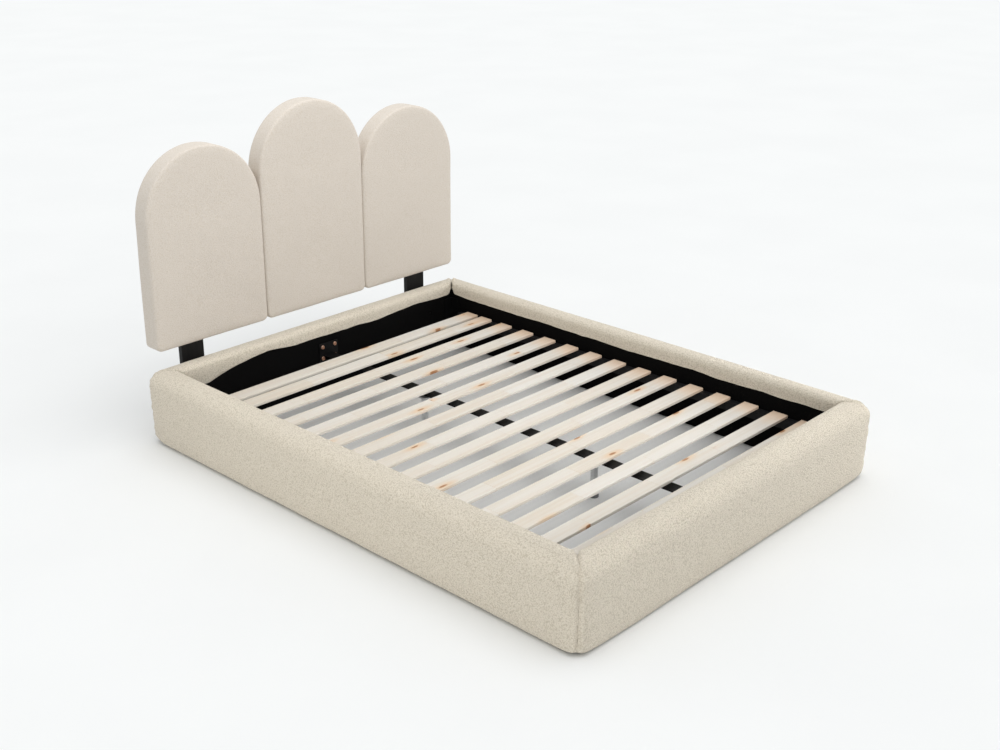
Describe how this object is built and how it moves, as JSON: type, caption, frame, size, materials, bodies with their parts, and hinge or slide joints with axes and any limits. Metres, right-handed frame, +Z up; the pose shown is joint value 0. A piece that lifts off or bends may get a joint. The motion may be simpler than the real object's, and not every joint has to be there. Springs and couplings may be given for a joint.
{
  "type": "upholstered headboard bed",
  "caption": "Upholstered bed with an arched panel headboard on two legs, thick padded rails and a slatted mattress well.",
  "frame": {"origin": "on the floor, at the middle of the bed's bounding box", "axes": "+Z up, +Y towards the headboard, X across the bed"},
  "size_m": [1.75, 2.2948, 1.2749],
  "materials": {
    "boucle_upholstery": "warm beige boucle over foam",
    "black_lined_board": "board lined with black non-woven cloth",
    "plywood": "raw plywood",
    "black_dust_cloth": "black non-woven dust cloth",
    "black_wood": "satin black paint",
    "pine": "planed, finger-jointed pine, unfinished",
    "black_steel": "black powder coat",
    "bronze_fasteners": "bronze-coloured plating",
    "zinc_steel": "zinc plated",
    "grey_plastic": "moulded grey plastic"
  },
  "bodies": {
    "bed": {"beam_hanger_foot": "black_steel", "beam_hanger_head": "black_steel", "centre_beam": "black_steel", "core_bolt_left_lower": "black_steel", "core_bolt_left_upper": "black_steel", "core_bolt_right_lower": "black_steel", "core_bolt_right_upper": "black_steel", "foot_left_corner_bracket": "black_steel", "foot_rail_board": "black_lined_board", "foot_rail_cover": "boucle_upholstery", "foot_right_corner_bracket": "black_steel", "hanger_bolt_foot_left_lower": "bronze_fasteners", "hanger_bolt_foot_left_upper": "bronze_fasteners", "hanger_bolt_foot_right_lower": "bronze_fasteners", "hanger_bolt_foot_right_upper": "bronze_fasteners", "hanger_bolt_head_left_lower": "bronze_fasteners", "hanger_bolt_head_left_upper": "bronze_fasteners", "hanger_bolt_head_right_lower": "bronze_fasteners", "hanger_bolt_head_right_upper": "bronze_fasteners", "head_left_corner_bracket": "black_steel", "head_rail_board": "black_lined_board", "head_rail_cover": "boucle_upholstery", "head_right_corner_bracket": "black_steel", "headboard_core_board": "plywood", "headboard_dust_cover": "black_dust_cloth", "headboard_leg_left": "black_wood", "headboard_leg_right": "black_wood", "headboard_pad_left": "boucle_upholstery", "headboard_pad_middle": "boucle_upholstery", "headboard_pad_right": "boucle_upholstery", "left_rail_board": "black_lined_board", "left_rail_cover": "boucle_upholstery", "rail_bolt_left_lower": "black_steel", "rail_bolt_left_upper": "black_steel", "rail_bolt_right_lower": "black_steel", "rail_bolt_right_upper": "black_steel", "right_rail_board": "black_lined_board", "right_rail_cover": "boucle_upholstery", "slat_01": "pine", "slat_02": "pine", "slat_03": "pine", "slat_04": "pine", "slat_05": "pine", "slat_06": "pine", "slat_07": "pine", "slat_08": "pine", "slat_09": "pine", "slat_10": "pine", "slat_11": "pine", "slat_12": "pine", "slat_13": "pine", "slat_14": "pine", "slat_15": "pine", "slat_ledge_left": "black_wood", "slat_ledge_right": "black_wood", "support_post_1": "zinc_steel", "support_post_2": "zinc_steel"},
    "foot_1": {"levelling_foot_1": "grey_plastic"},
    "foot_2": {"levelling_foot_2": "grey_plastic"}
  },
  "joints": [
    {"name": "levelling_1", "type": "slide", "parent": "bed", "child": "foot_1", "axis": [0, 0, 1], "range_m": [-0.008, 0.012]},
    {"name": "levelling_2", "type": "slide", "parent": "bed", "child": "foot_2", "axis": [0, 0, 1], "range_m": [-0.008, 0.012]}
  ]
}
